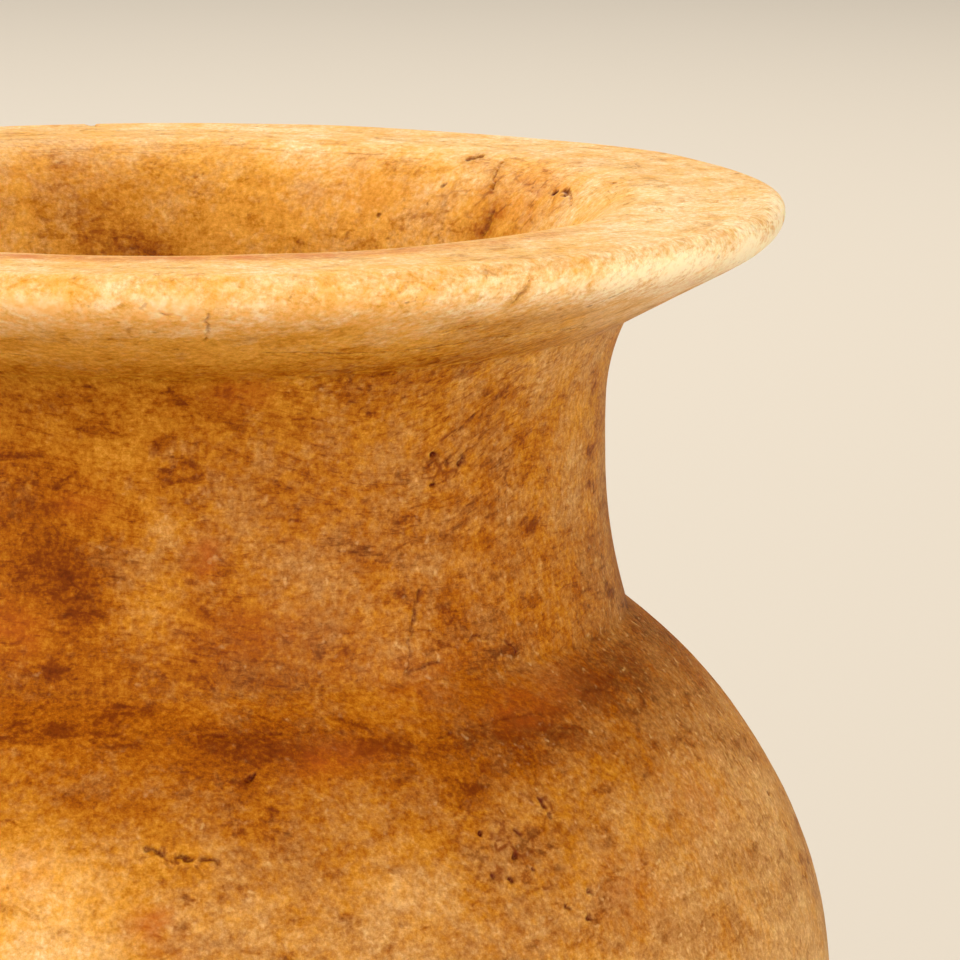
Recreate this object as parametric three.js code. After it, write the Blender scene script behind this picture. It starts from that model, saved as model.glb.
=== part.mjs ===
// An ancient pot carved from one block of alabaster: a round body on a small flat base, a neck that is
// drawn in between two flares, and a wide rim with a flat top and a rounded lip. It is hollow from the
// mouth down to a rounded floor. Millimetres, +Z up, origin in the middle of the base.

import * as THREE from "three";

// Body, outside
const baseRadius = 34;
const bodyRadius = 76.5;
const bodyWidestHeight = 66.5;
const shoulderRise = 62;

// Neck, outside: a long flare stands on the shoulder, and a short one carries the rim
const neckRadius = 49.7;
const neckStraight = 5.5;
const footFlareHeight = 18.6;
const footFlareReach = 2.6;
const headFlareHeight = 10.5;
const headFlareReach = 2.5;

// Rim: a straight underside, a rounded lip and a flat ring on top
const rimRadius = 70;
const rimUndersideAngle = 28.5;
const lipUnderReach = 12.6;
const lipUnderDrop = 6;
const lipTopReach = 2;
const lipTopDrop = 1.7;
const rimRingWidth = 13.2;

// Hollow: a funnel of a throat, an upright bore through the neck, and the belly
const throatDepth = 20;
const neckWall = 8;
const bodyWall = 9;
const floorThickness = 12;

// How finely the round stretches are cut into faces
const facesAround = 64;
const facesOnLongArc = 8;
const facesOnShortArc = 4;
const repeatedPointGap = 1e-6;

// The points of an ellipse's arc from one angle to the other, both ends included.
function arc(centreRadius, centreHeight, reach, rise, from, to, faces) {
  const clockwise = to < from;
  return new THREE.EllipseCurve(centreRadius, centreHeight, reach, rise, from, to, clockwise).getPoints(faces);
}

// The radius of the circle that starts upright and has moved outwards by `reach` after `height`.
function flareArcRadius(height, reach) {
  return (height ** 2 + reach ** 2) / (2 * reach);
}

// From the edge of the base, over the widest place, to the foot of the neck. The flat base cuts off the
// lower end of the ellipse.
function bodyOutline() {
  const depth = bodyWidestHeight / Math.sqrt(1 - (baseRadius / bodyRadius) ** 2);
  const baseAngle = -Math.asin(bodyWidestHeight / depth);
  const neckAngle = Math.acos((neckRadius + footFlareReach) / bodyRadius);
  return [
    ...arc(0, bodyWidestHeight, bodyRadius, depth, baseAngle, 0, facesOnLongArc),
    ...arc(0, bodyWidestHeight, bodyRadius, shoulderRise, 0, neckAngle, facesOnLongArc),
  ];
}

// From the shoulder to the rim's underside: the long flare, the straight stretch and the short flare.
function neckOutline(shoulderHeight) {
  const footRadius = flareArcRadius(footFlareHeight, footFlareReach);
  const headRadius = flareArcRadius(headFlareHeight, headFlareReach);
  const footTurn = Math.asin(footFlareHeight / footRadius);
  const headTurn = Math.asin(headFlareHeight / headRadius);
  const footCentre = neckRadius + footRadius;
  const headCentre = neckRadius + headRadius;
  const waistBottom = shoulderHeight + footFlareHeight;
  const waistTop = waistBottom + neckStraight;
  return [
    ...arc(footCentre, waistBottom, footRadius, footRadius, Math.PI + footTurn, Math.PI, facesOnShortArc),
    ...arc(headCentre, waistTop, headRadius, headRadius, Math.PI, Math.PI - headTurn, facesOnShortArc),
  ];
}

// From the head of the neck over the lip to the mouth. The underside runs straight out until it touches
// the ellipse that rounds the lower half of the lip.
function rimOutline(neckTopHeight) {
  const slope = Math.tan(THREE.MathUtils.degToRad(rimUndersideAngle));
  const touchAngle = -Math.atan2(lipUnderDrop, lipUnderReach * slope);
  const touchRadius = rimRadius - lipUnderReach * (1 - Math.cos(touchAngle));
  const touchHeight = neckTopHeight + slope * (touchRadius - neckRadius - headFlareReach);
  const lipHeight = touchHeight - lipUnderDrop * Math.sin(touchAngle);
  const underCentre = rimRadius - lipUnderReach;
  const topCentre = rimRadius - lipTopReach;
  return [
    ...arc(underCentre, lipHeight, lipUnderReach, lipUnderDrop, touchAngle, 0, facesOnShortArc),
    ...arc(topCentre, lipHeight, lipTopReach, lipTopDrop, 0, Math.PI / 2, facesOnShortArc),
    new THREE.Vector2(topCentre - rimRingWidth, lipHeight + lipTopDrop),
  ];
}

// From the mouth down the throat and the bore, out under the shoulder and round to the middle of the floor.
function hollowOutline(mouth) {
  const boreRadius = neckRadius - neckWall;
  const bellyRadius = bodyRadius - bodyWall;
  const bellyRise = shoulderRise - bodyWall;
  const bellyDepth = bodyWidestHeight - floorThickness;
  const boreAngle = Math.acos(boreRadius / bellyRadius);
  const throatReach = mouth.x - boreRadius;
  const throatBottom = mouth.y - throatDepth;
  return [
    ...arc(mouth.x, throatBottom, throatReach, throatDepth, Math.PI / 2, Math.PI, facesOnLongArc),
    ...arc(0, bodyWidestHeight, bellyRadius, bellyRise, boreAngle, 0, facesOnLongArc),
    ...arc(0, bodyWidestHeight, bellyRadius, bellyDepth, 0, -Math.PI / 2, facesOnLongArc),
  ];
}

// The pot's whole section, from the middle of the base round to the middle of the floor.
function potOutline() {
  const body = bodyOutline();
  const neck = neckOutline(body.at(-1).y);
  const rim = rimOutline(neck.at(-1).y);
  const hollow = hollowOutline(rim.at(-1));
  const points = [new THREE.Vector2(0, 0), ...body, ...neck, ...rim, ...hollow];
  return points.filter((point, i) => i === 0 || point.distanceTo(points[i - 1]) > repeatedPointGap);
}

// The section turned on its axis, which is stood upright.
function makePot() {
  const alabaster = new THREE.MeshStandardMaterial({ color: 0xc68a4e, roughness: 0.45, metalness: 0 });
  const geometry = new THREE.LatheGeometry(potOutline(), facesAround);
  geometry.rotateX(Math.PI / 2);
  const pot = new THREE.Mesh(geometry, alabaster);
  pot.name = "pot";
  return pot;
}

const object = new THREE.Group();
object.add(makePot());

export default object;
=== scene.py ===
# An ancient pot carved from one block of alabaster, standing on a pale floor under soft light.

import math
import random

import bpy
import numpy as np
from mathutils import Matrix, Vector, noise


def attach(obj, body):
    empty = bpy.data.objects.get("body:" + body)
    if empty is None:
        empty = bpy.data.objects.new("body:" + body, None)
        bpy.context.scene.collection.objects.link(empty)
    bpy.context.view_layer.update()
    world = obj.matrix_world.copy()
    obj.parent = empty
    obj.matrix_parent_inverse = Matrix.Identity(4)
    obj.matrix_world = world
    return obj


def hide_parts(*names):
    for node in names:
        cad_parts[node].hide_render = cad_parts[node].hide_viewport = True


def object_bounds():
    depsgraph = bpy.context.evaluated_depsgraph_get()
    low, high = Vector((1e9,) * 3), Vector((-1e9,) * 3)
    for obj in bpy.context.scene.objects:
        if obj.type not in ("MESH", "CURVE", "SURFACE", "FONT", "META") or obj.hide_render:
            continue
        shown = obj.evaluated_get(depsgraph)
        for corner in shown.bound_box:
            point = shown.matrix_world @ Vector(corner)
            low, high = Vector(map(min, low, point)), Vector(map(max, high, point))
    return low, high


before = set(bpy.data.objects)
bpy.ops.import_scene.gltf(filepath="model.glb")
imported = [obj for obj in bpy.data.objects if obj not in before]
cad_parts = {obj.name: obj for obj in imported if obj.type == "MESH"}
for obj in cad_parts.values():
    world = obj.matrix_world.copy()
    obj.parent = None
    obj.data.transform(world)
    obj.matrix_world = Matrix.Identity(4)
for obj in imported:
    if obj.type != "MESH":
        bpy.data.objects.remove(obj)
cad_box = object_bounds()


# The stone form
# The pot was cut from one block of banded alabaster. Its outside was ground round on a turning shaft
# with sand, and the hollow was bored out through the mouth, so the whole section turns on one axis.

mm = 0.001
steps_around = 192
points_per_stretch = 3
straight_stretch = 13.1 * mm
straight_cuts = 3
sharp_corner = math.radians(28)
merge_gap = 0.01 * mm

bpy.ops.object.select_all(action="DESELECT")
pot = bpy.data.objects.new("alabaster_pot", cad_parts["pot"].data.copy())
bpy.context.scene.collection.objects.link(pot)
bpy.context.view_layer.objects.active = pot
pot.select_set(True)

# Half of the section is kept, from the middle of the base round to the middle of the floor
bpy.ops.object.mode_set(mode="EDIT")
bpy.ops.mesh.select_mode(type="VERT")
bpy.ops.mesh.select_all(action="SELECT")
bpy.ops.mesh.remove_doubles(threshold=merge_gap)
bpy.ops.mesh.bisect(plane_co=(0, 0, 0), plane_no=(0, 1, 0), clear_inner=True, clear_outer=True)
bpy.ops.mesh.select_all(action="DESELECT")
bpy.ops.object.mode_set(mode="OBJECT")
for vertex in pot.data.vertices:
    vertex.select = vertex.co.x < -merge_gap
bpy.ops.object.mode_set(mode="EDIT")
bpy.ops.mesh.delete(type="VERT")

# The flat ring, the rim's underside, the bore and the base get points of their own, to stay straight
bpy.ops.mesh.select_mode(type="EDGE")
bpy.ops.mesh.select_all(action="DESELECT")
bpy.ops.object.mode_set(mode="OBJECT")
for edge in pot.data.edges:
    start, end = (pot.data.vertices[i].co for i in edge.vertices)
    edge.select = (end - start).length > straight_stretch
bpy.ops.object.mode_set(mode="EDIT")
bpy.ops.mesh.subdivide(number_cuts=straight_cuts)
bpy.ops.object.mode_set(mode="OBJECT")

# A curve through the points rounds the section, apart from its four true corners
bpy.ops.object.convert(target="CURVE")
bpy.ops.object.mode_set(mode="EDIT")
bpy.ops.curve.select_all(action="SELECT")
bpy.ops.curve.spline_type_set(type="BEZIER")
bpy.ops.curve.handle_type_set(type="AUTOMATIC")
bpy.ops.curve.select_all(action="DESELECT")
outline = pot.data.splines[0].bezier_points
for before, point, after in zip(outline, outline[1:], outline[2:]):
    turn = (point.co - before.co).angle(after.co - point.co)
    if turn > sharp_corner:
        point.select_control_point = True
bpy.ops.curve.handle_type_set(type="VECTOR")
bpy.ops.object.mode_set(mode="OBJECT")
pot.data.resolution_u = points_per_stretch
bpy.ops.object.convert(target="MESH")

# The section is spun round the axis
bpy.ops.object.mode_set(mode="EDIT")
bpy.ops.mesh.select_mode(type="VERT")
bpy.ops.mesh.select_all(action="SELECT")
bpy.ops.mesh.spin(steps=steps_around, angle=math.tau, center=(0, 0, 0), axis=(0, 0, 1))
bpy.ops.mesh.select_all(action="SELECT")
bpy.ops.mesh.remove_doubles(threshold=merge_gap)
bpy.ops.mesh.normals_make_consistent(inside=False)
bpy.ops.object.mode_set(mode="OBJECT")

# The faces are laid out in one fixed order, so that every run gives the same mesh
form_points = [tuple(vertex.co) for vertex in pot.data.vertices]
form_faces = sorted(tuple(face.vertices) for face in pot.data.polygons)
pot.data.clear_geometry()
pot.data.from_pydata(form_points, [], form_faces)
bpy.ops.object.shade_smooth()

# Grinding by hand has left the walls a little uneven, while the base was rubbed flat
unevenness = 0.7 * mm
unevenness_spacing = 38 * mm
flat_up_to = 2 * mm
uneven_from = 14 * mm
ground = pot.vertex_groups.new(name="ground_by_hand")
for vertex in pot.data.vertices:
    share = (vertex.co.z - flat_up_to) / (uneven_from - flat_up_to)
    if share > 0:
        ground.add([vertex.index], min(share, 1), "REPLACE")
hand_ground = bpy.data.textures.new("hand_ground", "CLOUDS")
hand_ground.noise_scale = unevenness_spacing
hand_ground.noise_depth = 2
grind = pot.modifiers.new("hand_ground", "DISPLACE")
grind.texture = hand_ground
grind.vertex_group = ground.name
grind.mid_level = 0.5
grind.strength = unevenness
bpy.ops.object.modifier_apply(modifier=grind.name)


# The pits, cracks and knocks in the stone
# Softer grains have weathered out of the surface, old cracks have opened along the veins, and the edge of
# the rim has been knocked. A place is given by its turn to the right of the front and its height.

outside, inside, on_top = "outside", "inside", "on_top"
clear_of_pot = 300 * mm


def spot(turn, level, side=outside):
    """The surface's point at a turn in degrees and a height, or a radius on the rim's top, in mm."""
    angle = math.radians(turn)
    outwards = Vector((math.sin(angle), -math.cos(angle), 0))
    if side == outside:
        start, aim = outwards * clear_of_pot + Vector((0, 0, level * mm)), -outwards
    elif side == inside:
        start, aim = Vector((0, 0, level * mm)), outwards
    else:
        start, aim = outwards * (level * mm) + Vector((0, 0, clear_of_pot)), Vector((0, 0, -1))
    return pot.ray_cast(start, aim)[1]


def through(*turns_and_levels, side=outside):
    """The points that one mark runs through."""
    return [spot(*turn_and_level, side) for turn_and_level in turns_and_levels]


# A mark of one spot has no length to divide by
no_length = 1e-12


def gap_to_line(points, line):
    """How far each point is from a line through the given places, in metres."""
    nearest = np.full(len(points), np.inf)
    for start, end in zip(line, line[1:] or line):
        start, along = np.array(start), np.array(end) - np.array(start)
        share = ((points - start) @ along) / max(along @ along, no_length)
        foot = start + np.clip(share, 0, 1)[:, None] * along
        nearest = np.minimum(nearest, np.linalg.norm(points - foot, axis=1))
    return nearest


def points_of(mesh, rows="vertices", name="co"):
    """A measure of the mesh with three parts, such as its points' places, as rows of an array."""
    values = np.zeros(len(getattr(mesh, rows)) * 3)
    getattr(mesh, rows).foreach_get(name, values)
    return values.reshape(-1, 3)


# Each mark is its width and depth in mm, how dark its dirt is, and the spots that it runs through
pits = [
    (1.1, 0.5, 1, through((34.4, 136.1), (35.2, 135.5))),
    (0.9, 0.4, 1, through((36.5, 135.0))),
    (0.9, 0.4, 1, through((38.7, 134.8), (39.4, 135.1))),
    (0.9, 0.5, 1, through((34.3, 132.8))),
    (0.7, 0.35, 0.75, through((-3.0, 98.1), (-1.5, 97.6))),
    (0.75, 0.4, 0.8, through((-0.1, 97.3), (0.4, 97.2), (1.0, 97.0))),
    (0.6, 0.3, 0.65, through((2.0, 97.0), (3.6, 96.8))),
    (0.9, 0.5, 1, through((6.9, 104.1), (7.8, 104.6))),
    (0.9, 0.4, 0.87, through((37.5, 99.7), (37.7, 99.0))),
    (0.9, 0.4, 0.87, through((37.9, 98.1))),
    (0.9, 0.4, 1, through((29.4, 97.6))),
    (0.8, 0.3, 0.87, through((33.4, 97.1))),
    (0.9, 0.5, 1, through((32.3, 95.0))),
    (0.8, 0.3, 0.87, through((33.7, 93.5))),
    (0.8, 0.3, 0.87, through((29.3, 93.3))),
    (0.9, 0.5, 1, through((31.0, 92.7))),
    (0.9, 0.4, 1, through((39.1, 90.2))),
    (0.8, 0.3, 0.87, through((36.1, 89.2))),
    (0.9, 0.4, 1, through((38.3, 87.7))),
    (1.3, 0.5, 0.8, through((110.0, 158.0), (108.8, 157.5), side=inside)),
    (1.2, 0.4, 1, through((112.0, 157.4), side=inside)),
    (1.1, 0.4, 0.6, through((134.6, 159.6), (135.8, 159.2), side=inside)),
    (0.8, 0.3, 0.72, through((136.4, 156.3), side=inside)),
    (0.8, 0.3, 0.72, through((146.5, 152.3), side=inside)),
    (1.3, 0.3, 0.45, through((124.0, 154.0), (123.4, 153.0), (123.9, 151.9), side=inside)),
]
cracks = [
    (0.7, 0.2, 0.72, through((31.9, 121.4), (31.4, 120.6), (30.8, 119.8), (30.5, 118.4), (30.0, 117.2))),
    (0.45, 0.2, 0.55, through((30.0, 117.2), (29.5, 116.0), (29.3, 114.6), (28.8, 113.2))),
    (0.55, 0.2, 0.7, through((28.9, 113.4), (28.3, 112.7), (30.2, 112.9), (31.8, 113.5), (33.2, 113.4))),
    (0.55, 0.2, 0.75, through((38.2, 115.1), (39.6, 115.6), (41.0, 115.5), (42.3, 114.9), (43.2, 114.9))),
    (0.5, 0.2, 1, through((44.4, 114.7), (45.6, 113.9), (46.2, 113.0))),
    (0.5, 0.2, 0.5, through((2.9, 155.9), (2.6, 155.0), (2.9, 153.8), (2.8, 152.2))),
    (0.45, 0.2, 0.4, through((-1.3, 156.1), (0.2, 155.7))),
    (0.6, 0.3, 0.5, through((32.3, 157.9), (31.8, 156.4), (31.3, 155.0))),
    (0.55, 0.2, 0.5, through((30.2, 152.8), (28.4, 152.2), (27.2, 151.6))),
    (0.59, 0.25, 0.55, through((129.8, 159.5), (128.6, 158.2), (126.6, 156.6), side=inside)),
    (0.52, 0.2, 0.72, through((101.0, 159.6), (99.0, 159.8), side=inside)),
    (0.52, 0.2, 0.5, through((103.5, 156.8), (106.5, 157.4), (108.9, 157.8), side=inside)),
]
tool_lines = [
    (0.52, 0.2, 0.51, [spot(step, 149.8 + 0.3 * math.sin(step / 6)) for step in range(-40, -14, 3)]),
    (0.6, 0.2, 0.6, [spot(step, 149.8 + 0.4 * math.sin(step / 5)) for step in range(9, 52, 3)]),
    (0.6, 0.15, 0.75, [spot(step, 108.2 + 0.2 * math.sin(step)) for step in range(3, 19, 3)]),
    (0.6, 0.15, 0.75, through((29, 106.6), (31, 107.0), (35, 107.2), (38, 107.5), (44, 107.2))),
]
knocks = [
    (1.6, 0.7, 0.9, through((-171.1, 69.3), (-171.1, 66.3), side=on_top)),
    (2.6, 0.5, 0.0, through((84, 153.5), (88, 153.2), (93, 153.4))),
    (1.8, 0.5, 0.1, through((212, 158.6), (215, 158.4))),
    (2.2, 0.6, 0.1, through((296, 154.5), (299, 154.0))),
]

# The sides that face away carry as many pits and cracks, scattered by a fixed draw
seen_pits, seen_cracks = len(pits), len(cracks)
hidden_turns = (75, 325)
scattered_pits, pit_levels = 46, (24, 147)
scattered_cracks, crack_levels = 9, (40, 140)
pit_depth_share = 0.45
crack_depth = 0.2
crack_spots, crack_step = 5, 0.9
chance = random.Random(11)
for _ in range(scattered_pits):
    start_turn, start_level = chance.uniform(*hidden_turns), chance.uniform(*pit_levels)
    width = chance.uniform(0.6, 1.1)
    chain = [
        (start_turn + step * chance.uniform(0.6, 1.4), start_level + chance.uniform(-0.7, 0.7))
        for step in range(chance.choice((1, 1, 2, 3)))
    ]
    pits.append((width, width * pit_depth_share, chance.uniform(0.6, 1), through(*chain)))
for _ in range(scattered_cracks):
    start_turn, start_level = chance.uniform(*hidden_turns), chance.uniform(*crack_levels)
    slope = chance.uniform(-0.9, 0.9)
    chain = [
        (start_turn + step * crack_step, start_level + step * slope + chance.uniform(-0.3, 0.3))
        for step in range(crack_spots)
    ]
    cracks.append((chance.uniform(0.38, 0.5), crack_depth, chance.uniform(0.6, 0.9), through(*chain)))


# Faces are split where the dirt and the relief of a mark reach, and in a margin round it, in mm
share_of_width = 0.7
margin = 0.1
first_margin = 1.5


def refine_near(marks, levels):
    """Splits the faces near the marks, again and again closer in, so that small marks get small faces."""
    for level in range(levels):
        centres = points_of(pot.data, "polygons", "center")
        chosen = np.zeros(len(centres), bool)
        for width, _, _, line in marks:
            reach = (width * share_of_width + margin + first_margin / 2**level) * mm
            chosen |= gap_to_line(centres, line) < reach
        bpy.ops.object.mode_set(mode="EDIT")
        bpy.ops.mesh.select_mode(type="FACE")
        bpy.ops.mesh.select_all(action="DESELECT")
        bpy.ops.object.mode_set(mode="OBJECT")
        pot.data.polygons.foreach_set("select", chosen)
        bpy.ops.object.mode_set(mode="EDIT")
        bpy.ops.mesh.subdivide(number_cuts=1, smoothness=1.0, ngon=False)
        bpy.ops.object.mode_set(mode="OBJECT")


def roughly(points, fineness):
    """A number from 0 to 1 at each point that changes unevenly, as broken stone does."""
    return np.array([noise.noise(Vector(point) * fineness) * 0.5 + 0.5 for point in points])


# A mark's sides stray by this many mm, its edge is ragged and its floor is broken by shallow places
noise.seed_set(11)
wander, wander_fineness = 0.35, 1100
narrowest_edge, edge_fineness = 0.3, 1500
shallowest, floor_fineness, floor_contrast, floor_shift = 0.35, 700, 3, 0.4
furthest_edge = 1.2


def sink(name, marks, filled):
    """Presses a group of like marks into the surface and tells where their dirt lies."""
    points = points_of(pot.data)
    weight = np.zeros(len(points))
    dirt = np.zeros(len(points))
    deepest = max(depth for _, depth, _, _ in marks)
    for width, depth, darkness, line in marks:
        near = np.nonzero(gap_to_line(points, line) < (width * furthest_edge + wander) * mm)[0]
        strayed = [noise.noise_vector(Vector(point) * wander_fineness) for point in points[near]]
        strayed = np.array(strayed).reshape(-1, 3)
        gap = np.full(len(points), np.inf)
        gap[near] = gap_to_line(points[near] + strayed * wander * mm, line) / (width * mm)
        edge = narrowest_edge + (1 - narrowest_edge) * roughly(points[near], edge_fineness)
        share = np.clip(1 - gap[near] / edge, 0, 1)
        rounded = share * share * (3 - 2 * share)
        broken = np.clip(roughly(points[near], floor_fineness) * floor_contrast - floor_shift, shallowest, 1)
        share = rounded * broken
        weight[near] = np.maximum(weight[near], share * depth / deepest)
        dirt[near] = np.maximum(dirt[near], np.clip(share * filled, 0, 1) * darkness)
    group = pot.vertex_groups.new(name=name)
    for index in np.nonzero(weight)[0]:
        group.add([int(index)], weight[index], "REPLACE")
    press = pot.modifiers.new(name, "DISPLACE")
    press.vertex_group = name
    press.mid_level = 0
    press.strength = -deepest * mm
    bpy.ops.object.modifier_apply(modifier=press.name)
    return dirt


refine_near(pits[:seen_pits] + cracks[:seen_cracks], levels=4)
refine_near(pits[seen_pits:] + cracks[seen_cracks:] + tool_lines + knocks, levels=3)
dirt = np.maximum.reduce([
    sink("pits", pits, filled=1.9),
    sink("cracks", cracks, filled=1.05),
    sink("tool_lines", tool_lines, filled=0.95),
    sink("knocks", knocks, filled=1.4),
])


# The stains in the stone, with painted shade and glow
# The honey colour comes from iron in the stone and from long burial. It is deepest on the neck and in the
# crease of the shoulder, in the rim's shadow, partly stain and partly painted shade, and pale on the lip and
# on the rim's underside, partly wear and partly a painted glow of light through the thin rim.

places = points_of(pot.data)
radius = np.hypot(places[:, 0], places[:, 1]) / mm
height = places[:, 2] / mm
turn = np.degrees(np.arctan2(places[:, 0], -places[:, 1]))
normals = points_of(pot.data, "vertices", "normal")
facing_out = (normals[:, 0] * places[:, 0] + normals[:, 1] * places[:, 1]) / np.maximum(radius * mm, 1e-9)
side_blend = 0.5
on_outside = np.clip(facing_out / side_blend + 0.5, 0, 1)


def patches(spots_and_sizes):
    """How strong the patches are at each point. Each is turn, height, half width, half height, strength."""
    total = np.zeros(len(places))
    for patch_turn, patch_height, half_width, half_height, strength in spots_and_sizes:
        across = (turn - patch_turn + 180) % 360 - 180
        along = np.radians(across) * radius / half_width
        up = (height - patch_height) / half_height
        total += strength * np.exp(-(along**2 + up**2))
    return total


# The depth of the colour runs from 0, pale, to 1, deep brown
# Along the height the outside is painted darker down the neck and in the shoulder's crease, partly stain and
# partly painted shade, and paler on the rim's underside as a painted glow
outer_stain_and_light = np.interp(
    height,
    [10, 40, 84, 92, 98, 103, 107, 112, 120, 130, 140, 147, 151, 154, 157, 160],
    [0.64, 0.6, 0.64, 0.61, 0.7, 0.82, 0.92, 0.86, 0.8, 0.75, 0.74, 0.65, 0.37, 0.2, 0.12, 0.28],
)
# Inside, the colour deepens down into the mouth, partly stain and partly painted shade
inner_stain_and_shade = np.interp(height, [20, 100, 140, 150, 157, 160], [0.75, 0.75, 0.48, 0.38, 0.32, 0.28])
# Most patches are stains; the pale ones low on the body's left, at turn -14 near heights 88 and 97, are a
# painted glow of light
outer_stain_and_glow_patches = patches([
    (-16, 126, 8, 7, 0.2), (-22, 131, 9, 5, 0.16), (-20, 113, 8, 3.5, 0.12), (5.5, 144, 5, 3, 0.13),
    (-20, 144, 10, 2.5, 0.18), (12, 118, 9, 4, 0.06), (14, 113, 9, 2.5, 0.06), (-12, 91, 12, 8, 0.05),
    (66, 108.5, 6, 2, 0.06), (8, 152.5, 12, 1.5, 0.08), (38, 152.5, 10, 1.4, 0.1),
    (-16, 151.5, 8, 1.2, 0.12), (38, 92, 14, 10, 0.08), (35, 105, 10, 2.5, 0.1), (24, 100, 12, 4, 0.07),
    (-9, 103, 4, 2.5, 0.1), (12, 96, 5, 3, 0.08), (22, 90, 5, 3, -0.1), (48, 96, 6, 5, -0.06),
    (60, 100, 6, 5, -0.06), (3, 126, 2.5, 3, 0.1), (13, 122, 9, 4, 0.06), (27, 145, 8, 2, 0.1),
    (38, 141, 8, 2, 0.08), (50, 137, 7, 2.5, 0.06), (65, 109.5, 7, 2.5, 0.16), (54, 109, 6, 2, 0.14),
    (43, 107.5, 5, 1.6, 0.08), (17, 106, 8, 2, 0.1), (6, 107.5, 8, 1.6, 0.08), (-3, 91, 3, 2, 0.16),
    (0, 88, 3, 1.5, 0.12), (-14, 88, 16, 9, -0.3), (-14, 97, 14, 5, -0.12), (-4, 135, 5, 9, -0.12),
    (-3, 121, 3, 4, -0.08), (72, 106.5, 6, 3, -0.06), (30, 122, 9, 12, -0.05),
    (-20, 106, 14, 2.5, -0.1), (-1, 156.6, 2.5, 1.2, -0.25), (-12, 157, 3, 1, -0.2),
    (14, 155.5, 3, 1.2, 0.1), (40, 156, 12, 2, -0.12), (75, 155, 16, 4, -0.15),
    (10, 152.5, 9, 1.4, 0.12), (-8, 153, 4, 1.2, 0.1), (27, 156.5, 4, 1, 0.1),
    (31.9, 156.7, 1.0, 1.1, 0.34), (31.3, 155.3, 0.9, 0.9, 0.28), (29.4, 152.7, 1.8, 0.8, 0.2),
    (82, 158, 20, 4, -0.1), (32, 157, 12, 2.5, -0.07), (52, 157, 14, 2.5, -0.06), (7, 157, 14, 2, 0.05),
    (12, 123, 9, 6, -0.03), (21, 113.5, 7, 3.5, -0.04), (-20, 122, 5, 4, 0.06), (102, 96, 20, 14, 0.1),
    (128, 60, 24, 20, -0.14), (150, 125, 12, 9, 0.1), (178, 80, 22, 13, 0.12), (205, 118, 10, 12, -0.1),
    (232, 92, 16, 10, 0.1), (250, 52, 26, 16, -0.12), (275, 128, 11, 7, 0.12), (300, 98, 14, 8, -0.1),
    (318, 66, 20, 15, 0.1), (20, 60, 22, 14, 0.08), (70, 40, 18, 14, 0.08),
])
inner_patches = patches([
    (-168, 152, 10, 6, 0.24), (-175, 147, 4, 2, 0.3), (124, 153, 2.6, 3.2, 0.4),
    (135.2, 159.3, 1.6, 1, 0.3), (129, 158.6, 1, 1.2, 0.26), (127, 156.8, 1, 1.2, 0.26),
    (143, 157.5, 1.2, 1, 0.16),
])
stain_and_painted_light = on_outside * (outer_stain_and_light + outer_stain_and_glow_patches)
stain_and_painted_light += (1 - on_outside) * (inner_stain_and_shade + inner_patches)

# The inner edge of the flat ring, at the front, keeps a rosy band
ring_from, ring_blend, ring_radius = 158.5, 1.2, 69
rosy_radius, rosy_half_width, rosy_turn, rosy_reach = 56.5, 2, -5, 50
on_ring = np.clip((height - ring_from) / ring_blend, 0, 1)
rosy_band = on_ring * np.exp(-(((radius - rosy_radius) / rosy_half_width) ** 2))
rosy_band *= np.clip(1.3 - np.abs(turn - rosy_turn) / rosy_reach, 0, 1)
stain_and_painted_light += 0.14 * rosy_band
outer_rust = patches([
    (3.4, 126.5, 1.6, 2, 0.5), (-2.5, 91, 1.8, 1.5, 0.7), (-0.5, 88, 2.2, 0.9, 0.6),
    (-14, 95, 2, 2, 0.3), (16, 105.8, 5, 1.6, 0.4), (41, 108, 4, 1.6, 0.45), (50, 109, 5, 1.8, 0.3),
    (-21, 118, 5, 3, 0.35), (-12, 132, 3, 1.4, 0.3), (8, 145, 4, 2, 0.3), (60, 96, 7, 4, 0.2),
    (44, 90, 5, 4, 0.2), (30, 112, 6, 3, 0.2), (10, 118, 8, 3, 0.2), (115, 70, 12, 9, 0.3),
    (160, 104, 9, 5, 0.35), (190, 60, 14, 12, 0.3), (222, 128, 7, 6, 0.3), (262, 84, 12, 9, 0.3),
    (292, 118, 8, 5, 0.3), (330, 90, 10, 7, 0.25),
])
inner_rust = patches([(118, 156, 9, 4, 0.4), (150, 155, 12, 3, 0.2), (-160, 156, 12, 3, 0.2)])
rust = 0.8 * rosy_band + on_outside * outer_rust + (1 - on_outside) * inner_rust

# Where the crust is breaking, a net of short dark cracks shows
outer_net = patches([
    (37, 100, 7, 5, 1), (31, 95, 5, 4, 0.9), (37, 90, 5, 3, 0.9), (0, 97, 6, 2.2, 1),
    (45, 113, 8, 2.5, 0.6), (36, 134, 5, 2.5, 0.9), (47, 105, 6, 3, 0.7), (18, 107, 12, 1.2, 0.6),
    (8, 104.5, 5, 1.2, 0.5), (-9, 120, 8, 4, 0.4), (110, 104, 14, 8, 0.8), (140, 84, 12, 9, 0.8),
    (172, 130, 8, 6, 0.7), (200, 98, 14, 7, 0.8), (240, 70, 14, 10, 0.7), (268, 112, 12, 5, 0.8),
    (310, 86, 12, 8, 0.8), (345, 60, 14, 10, 0.6),
])
inner_net = patches([(120, 156, 12, 4, 0.8), (-165, 150, 10, 5, 0.5)])
crazed = on_outside * outer_net + (1 - on_outside) * inner_net
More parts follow.
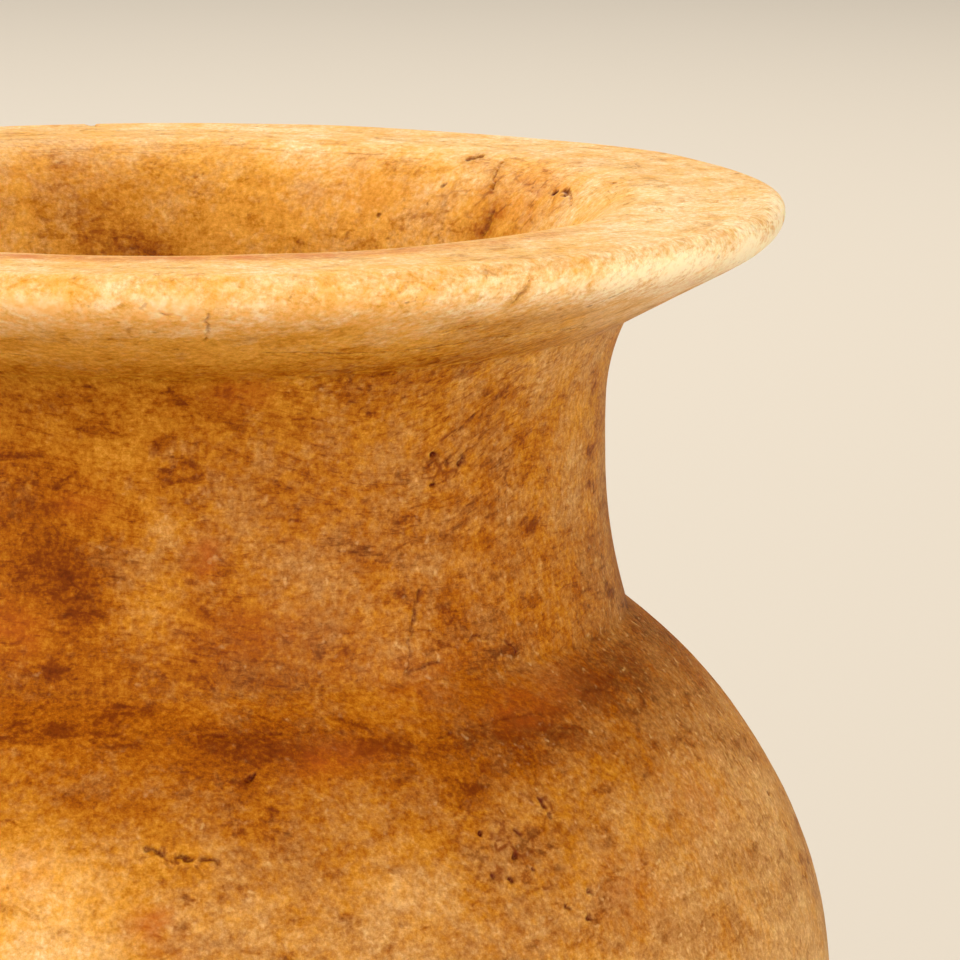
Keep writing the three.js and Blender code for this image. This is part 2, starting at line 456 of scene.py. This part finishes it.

# Some of the stone is drier and more tan than the rest: the lip and the body. It grows paler towards the
# right, partly the stone's own tone and partly painted light from that side
outer_tan_and_side_light = np.interp(
    height,
    [10, 92, 98, 106, 112, 125, 148, 153, 160],
    [0.6, 0.5, 0.25, 0, 0.05, 0.2, 0.05, 0.35, 0.45],
)
# Paler and more tan towards the right, partly painted light falling on that side
outer_tan_and_side_light += np.interp(turn, [-180, -140, -20, 20, 50, 80, 180], [0.1, 0.1, -0.2, 0, 0.3, 0.5, 0.1])
outer_tan_and_side_light += patches([
    (72, 102, 14, 8, 0.4), (-16, 125, 14, 14, -0.2), (8, 145, 22, 6, -0.2), (-6, 132, 5, 10, 0.2),
    (-14, 103, 10, 4, 0.35), (24, 124, 14, 12, 0.15), (60, 156, 34, 5, 0.35), (82, 156, 20, 5, 0.2),
    (55, 134, 16, 14, -0.15), (-8, 143, 22, 4, -0.1), (65, 109, 9, 3, -0.2), (-5, 157, 8, 1.5, 0.15),
    (15, 152, 80, 1.6, -0.15), (12, 123, 10, 7, 0.2), (22, 113.5, 8, 4, 0.18),
])
inner_tan = np.interp(height, [140, 152, 158], [0, 0.1, 0.4])
tan = on_outside * outer_tan_and_side_light + (1 - on_outside) * inner_tan

# Turning marks run round the neck and the rim, wavy, and climb to the right at the neck's upper right
turned = np.interp(height, [20, 95, 108, 114, 148, 152, 160], [0.2, 0.2, 0.4, 1.0, 1.0, 0.5, 0.4])
climb_turn, climb_half_turn, climb_from, climb_blend, steepest = 42, 20, 126, 10, 0.4
climb = steepest * np.exp(-(((turn - climb_turn) / climb_half_turn) ** 2))
climb *= np.clip((height - climb_from) / climb_blend, 0, 1)
turned *= 1 + 1.5 * climb
long_wave = 1.2 * np.sin(np.radians(turn * 3))
short_wave = 0.5 * np.sin(np.radians(turn * 11 + height * 9))
level = height + long_wave + short_wave - climb * np.radians(turn - climb_turn) * radius
level += on_ring * (radius - ring_radius)
streak_place = np.column_stack([places[:, 0], places[:, 1], level * mm])

painted_values = {
    "stain_and_painted_light": stain_and_painted_light,
    "dirt": dirt,
    "tan": tan,
    "turned": turned,
    "rust": rust,
    "crazed": crazed,
}
for name, values in painted_values.items():
    attribute = pot.data.attributes.new(name, "FLOAT", "POINT")
    attribute.data.foreach_set("value", values.astype(np.float32))
attribute = pot.data.attributes.new("streak_place", "FLOAT_VECTOR", "POINT")
attribute.data.foreach_set("vector", streak_place.astype(np.float32).ravel())


# The alabaster's finish
# Translucent calcite with a worn polish: light goes a few millimetres in and comes out warm. Fine turning
# marks run round it, and small grains and veins mottle it.

alabaster = bpy.data.materials.new("alabaster")
alabaster.use_nodes = True
tree = alabaster.node_tree
shader = tree.nodes["Principled BSDF"]


def connect(socket, value):
    """Gives a socket a plain value, or joins another node's output to it."""
    if isinstance(value, bpy.types.NodeSocket):
        tree.links.new(value, socket)
    else:
        socket.default_value = value


def sum_of(first, second, operation="ADD", clamp=False):
    node = tree.nodes.new("ShaderNodeMath")
    node.operation = operation
    node.use_clamp = clamp
    connect(node.inputs[0], first)
    connect(node.inputs[1], second)
    return node.outputs[0]


def product_of(first, second):
    return sum_of(first, second, "MULTIPLY")


def rescaled(value, low, high, new_low=0.0, new_high=1.0):
    node = tree.nodes.new("ShaderNodeMapRange")
    for socket, number in zip(node.inputs, (value, low, high, new_low, new_high)):
        connect(socket, number)
    return node.outputs[0]


def mottle(fineness, detail, roughness, squash=(1, 1, 1), place=None, curl=0.7):
    """Uneven grey from 0 to 1: fineness counts blotches to the metre, squash flattens and curl bends them."""
    mapping = tree.nodes.new("ShaderNodeMapping")
    tree.links.new(place or stone_place, mapping.inputs["Vector"])
    mapping.inputs["Scale"].default_value = squash
    node = tree.nodes.new("ShaderNodeTexNoise")
    tree.links.new(mapping.outputs[0], node.inputs["Vector"])
    node.inputs["Scale"].default_value = fineness
    node.inputs["Detail"].default_value = detail
    node.inputs["Roughness"].default_value = roughness
    node.inputs["Distortion"].default_value = curl
    return node.outputs["Fac"]


def painted(name, output="Fac"):
    """Reads one of the values painted on the points above."""
    node = tree.nodes.new("ShaderNodeAttribute")
    node.attribute_name = name
    return node.outputs[output]


def colours_by_depth(tones):
    """A row of colours that the depth runs through, from pale to deep."""
    node = tree.nodes.new("ShaderNodeValToRGB")
    stops = node.color_ramp.elements
    stops[0].color = (*tones[0], 1)
    stops[1].color = (*tones[-1], 1)
    for position, tone in zip(depths[1:-1], tones[1:-1]):
        stops.new(position).color = (*tone, 1)
    tree.links.new(product_of(stain_and_light_depth, depth_of_brown), node.inputs["Fac"])
    return node.outputs["Color"]


def blended(share, first, second):
    node = tree.nodes.new("ShaderNodeMix")
    node.data_type = "RGBA"
    connect(node.inputs[0], share)
    connect(node.inputs[6], first)
    connect(node.inputs[7], second)
    return node.outputs[2]


stone_place = tree.nodes.new("ShaderNodeTexCoord").outputs["Object"]
turning_place = painted("streak_place", "Vector")
broad_clouds = mottle(32, 2, 0.5, curl=0)
clouds = mottle(110, 3, 0.6, squash=(1, 1, 1.6), place=turning_place)
veins = mottle(330, 3, 0.65, squash=(1, 1, 1.5))
grains = mottle(1500, 3, 0.8, curl=0)
flecks = mottle(1100, 2, 0.5, curl=0)
dry_patches = mottle(150, 3, 0.7, curl=0)
turning_marks = mottle(450, 3, 0.7, squash=(1, 1, 5), place=turning_place)

soft_streaks = rescaled(turning_marks, 0.3, 0.7, -0.06, 0.04)
dark_streaks = rescaled(turning_marks, 0.55, 0.68, 0, 0.1)
streaks = product_of(painted("turned"), sum_of(soft_streaks, dark_streaks))
blotches = rescaled(mottle(230, 3, 0.65, squash=(1, 1, 2), place=turning_place), 0.53, 0.66)
blotches = product_of(blotches, rescaled(clouds, 0.4, 0.6, 0.06, 0.24))
# The colour depth carries the stains and the painted shade and glow from above
stain_and_light_depth = sum_of(painted("stain_and_painted_light"), sum_of(streaks, sum_of(blotches, -0.035)))
for pattern, strength in ((broad_clouds, 0.09), (clouds, 0.08), (veins, 0.06), (grains, 0.18)):
    stain_and_light_depth = sum_of(stain_and_light_depth, rescaled(pattern, 0.3, 0.7, -strength, strength))

# Deep brown stands at this share of the row, and darker tones follow, so that dark stains keep their grain
depth_of_brown = 0.8
depths = (0, 0.24, 0.48, 0.64, 0.8, 1)
honey = colours_by_depth([
    (0.95, 0.54, 0.18), (0.77, 0.385, 0.06), (0.52, 0.21, 0.012), (0.36, 0.105, 0.001), (0.2, 0.042, 0.0005),
    (0.12, 0.02, 0.0003),
])
tan_stone = colours_by_depth([
    (0.97, 0.84, 0.57), (0.78, 0.48, 0.2), (0.5, 0.25, 0.075), (0.34, 0.14, 0.03), (0.2, 0.07, 0.01),
    (0.12, 0.035, 0.004),
])
tan_share = rescaled(dry_patches, 0.35, 0.65, -0.42, 0.42)
tan_share = sum_of(rescaled(flecks, 0.3, 0.7, -0.3, 0.3), tan_share)
tan_share = sum_of(painted("tan"), tan_share, clamp=True)
stone = blended(tan_share, honey, tan_stone)

rust_colour = (0.56, 0.13, 0.012, 1)
rust_share = product_of(painted("rust"), rescaled(veins, 0.35, 0.6, 0.3, 1))
stone = blended(rust_share, stone, rust_colour)

# The net of cracks is the edges of small cells, broken up by the grain
cells_to_the_metre = 420
cells = tree.nodes.new("ShaderNodeTexVoronoi")
cells.feature = "DISTANCE_TO_EDGE"
cells.inputs["Scale"].default_value = cells_to_the_metre
tree.links.new(turning_place, cells.inputs["Vector"])
cell_edges = rescaled(cells.outputs["Distance"], 0.03, 0.1, 1, 0)
net = product_of(cell_edges, rescaled(veins, 0.47, 0.6, 0, 0.8))
net = product_of(net, painted("crazed"))

# Small brown specks lie in clusters, and paler crystals catch the light between them
clusters = rescaled(clouds, 0.48, 0.62)
specks = product_of(clusters, rescaled(mottle(800, 2, 0.6, curl=0), 0.62, 0.72, 0, 0.5))
pale_crystals = product_of(tan_share, rescaled(mottle(1000, 1, 0.6, curl=0), 0.64, 0.76, 0, 0.45))
speck_colour = (0.19, 0.036, 0.001, 1)
crystal_colour = (0.92, 0.62, 0.27, 1)
dirt_colour = (0.11, 0.011, 0.0005, 1)
stone = blended(pale_crystals, stone, crystal_colour)
stone = blended(specks, stone, speck_colour)
stone = blended(net, stone, speck_colour)
dirt_share = sum_of(painted("dirt"), rescaled(grains, 0.3, 0.6, 0.5, 1.1), "MULTIPLY", clamp=True)
tree.links.new(blended(dirt_share, stone, dirt_colour), shader.inputs["Base Color"])

shader.inputs["Roughness"].default_value = 0.55
shader.inputs["IOR"].default_value = 1.5
shader.inputs["Specular IOR Level"].default_value = 0.09
shader.inputs["Subsurface Weight"].default_value = 0.4
shader.inputs["Subsurface Radius"].default_value = (1.0, 0.4, 0.12)
shader.inputs["Subsurface Scale"].default_value = 5 * mm

turned_relief = product_of(turning_marks, product_of(painted("turned"), 0.8))
surface = sum_of(product_of(grains, 0.7), turned_relief)
relief = tree.nodes.new("ShaderNodeBump")
relief.inputs["Strength"].default_value = 0.6
relief.inputs["Distance"].default_value = 0.25 * mm
tree.links.new(surface, relief.inputs["Height"])
tree.links.new(relief.outputs[0], shader.inputs["Normal"])

pot.data.materials.clear()
pot.data.materials.append(alabaster)
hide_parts("pot")
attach(pot, "root")


# The floor, the light and the camera
# A plain pale floor, large soft lights to the right and the left, weaker ones above the back and the front,
# and the camera at the photograph's angle: close up on the rim, the neck and the right-hand shoulder.

floor_radius = 3
floor_sides = 128
floor_colour = (0.62, 0.6, 0.57, 1)
floor_roughness = 0.8
bpy.ops.object.select_all(action="DESELECT")
bpy.ops.mesh.primitive_circle_add(
    vertices=floor_sides, radius=floor_radius, fill_type="NGON", location=(0, 0, 0),
)
floor = bpy.context.object
floor.name = "floor"
paint = bpy.data.materials.new("floor_paint")
paint.use_nodes = True
paint_shader = paint.node_tree.nodes["Principled BSDF"]
paint_shader.inputs["Base Color"].default_value = floor_colour
paint_shader.inputs["Roughness"].default_value = floor_roughness
floor.data.materials.append(paint)

warm_white = (1.0, 0.9, 0.76)
aim_share_of_height = 0.8


def softbox(name, place, width, watts):
    """A square area light that points at the pot's neck."""
    light = bpy.data.lights.new(name, "AREA")
    light.size = width
    light.energy = watts
    light.color = warm_white
    box = bpy.data.objects.new(name, light)
    bpy.context.scene.collection.objects.link(box)
    box.location = place
    aim = Vector((0, 0, cad_box[1][2] * aim_share_of_height)) - box.location
    box.rotation_euler = aim.to_track_quat("-Z", "Y").to_euler()


softbox("right_light", place=(1.8, -2.4, 0.84), width=1.5, watts=65)
softbox("left_light", place=(-3.0, -0.3, 1.24), width=1.5, watts=83)
softbox("back_light", place=(0, 1.6, 1.9), width=1.0, watts=45)
softbox("front_light", place=(0.1, -1.5, 1.5), width=1.0, watts=15)

world = bpy.data.worlds.new("studio")
world.use_nodes = True
world_strength = 0.1
world.node_tree.nodes["Background"].inputs["Color"].default_value = (*warm_white, 1)
world.node_tree.nodes["Background"].inputs["Strength"].default_value = world_strength
bpy.context.scene.world = world
bpy.context.scene.view_settings.view_transform = "Standard"

rim_height = cad_box[1][2]
camera_distance = 0.7
camera_above_rim = 0.0895
camera_yaw = math.radians(2.88)
camera_pitch = math.radians(9.985)
camera_roll = math.radians(0.18)
sensor_width = 36
focal_length = 229.25

camera = bpy.data.objects.new("camera", bpy.data.cameras.new("camera"))
bpy.context.scene.collection.objects.link(camera)
camera.data.sensor_fit = "HORIZONTAL"
camera.data.sensor_width = sensor_width
camera.data.lens = focal_length
forward = Vector((
    math.sin(camera_yaw) * math.cos(camera_pitch),
    math.cos(camera_yaw) * math.cos(camera_pitch),
    -math.sin(camera_pitch),
))
right = forward.cross(Vector((0, 0, 1))).normalized()
upward = right.cross(forward)
axes = Matrix((right, upward, -forward)).transposed() @ Matrix.Rotation(camera_roll, 3, "Z")
camera_place = Matrix.Translation((0, -camera_distance, rim_height + camera_above_rim))
camera.matrix_world = camera_place @ axes.to_4x4()
bpy.context.scene.camera = camera
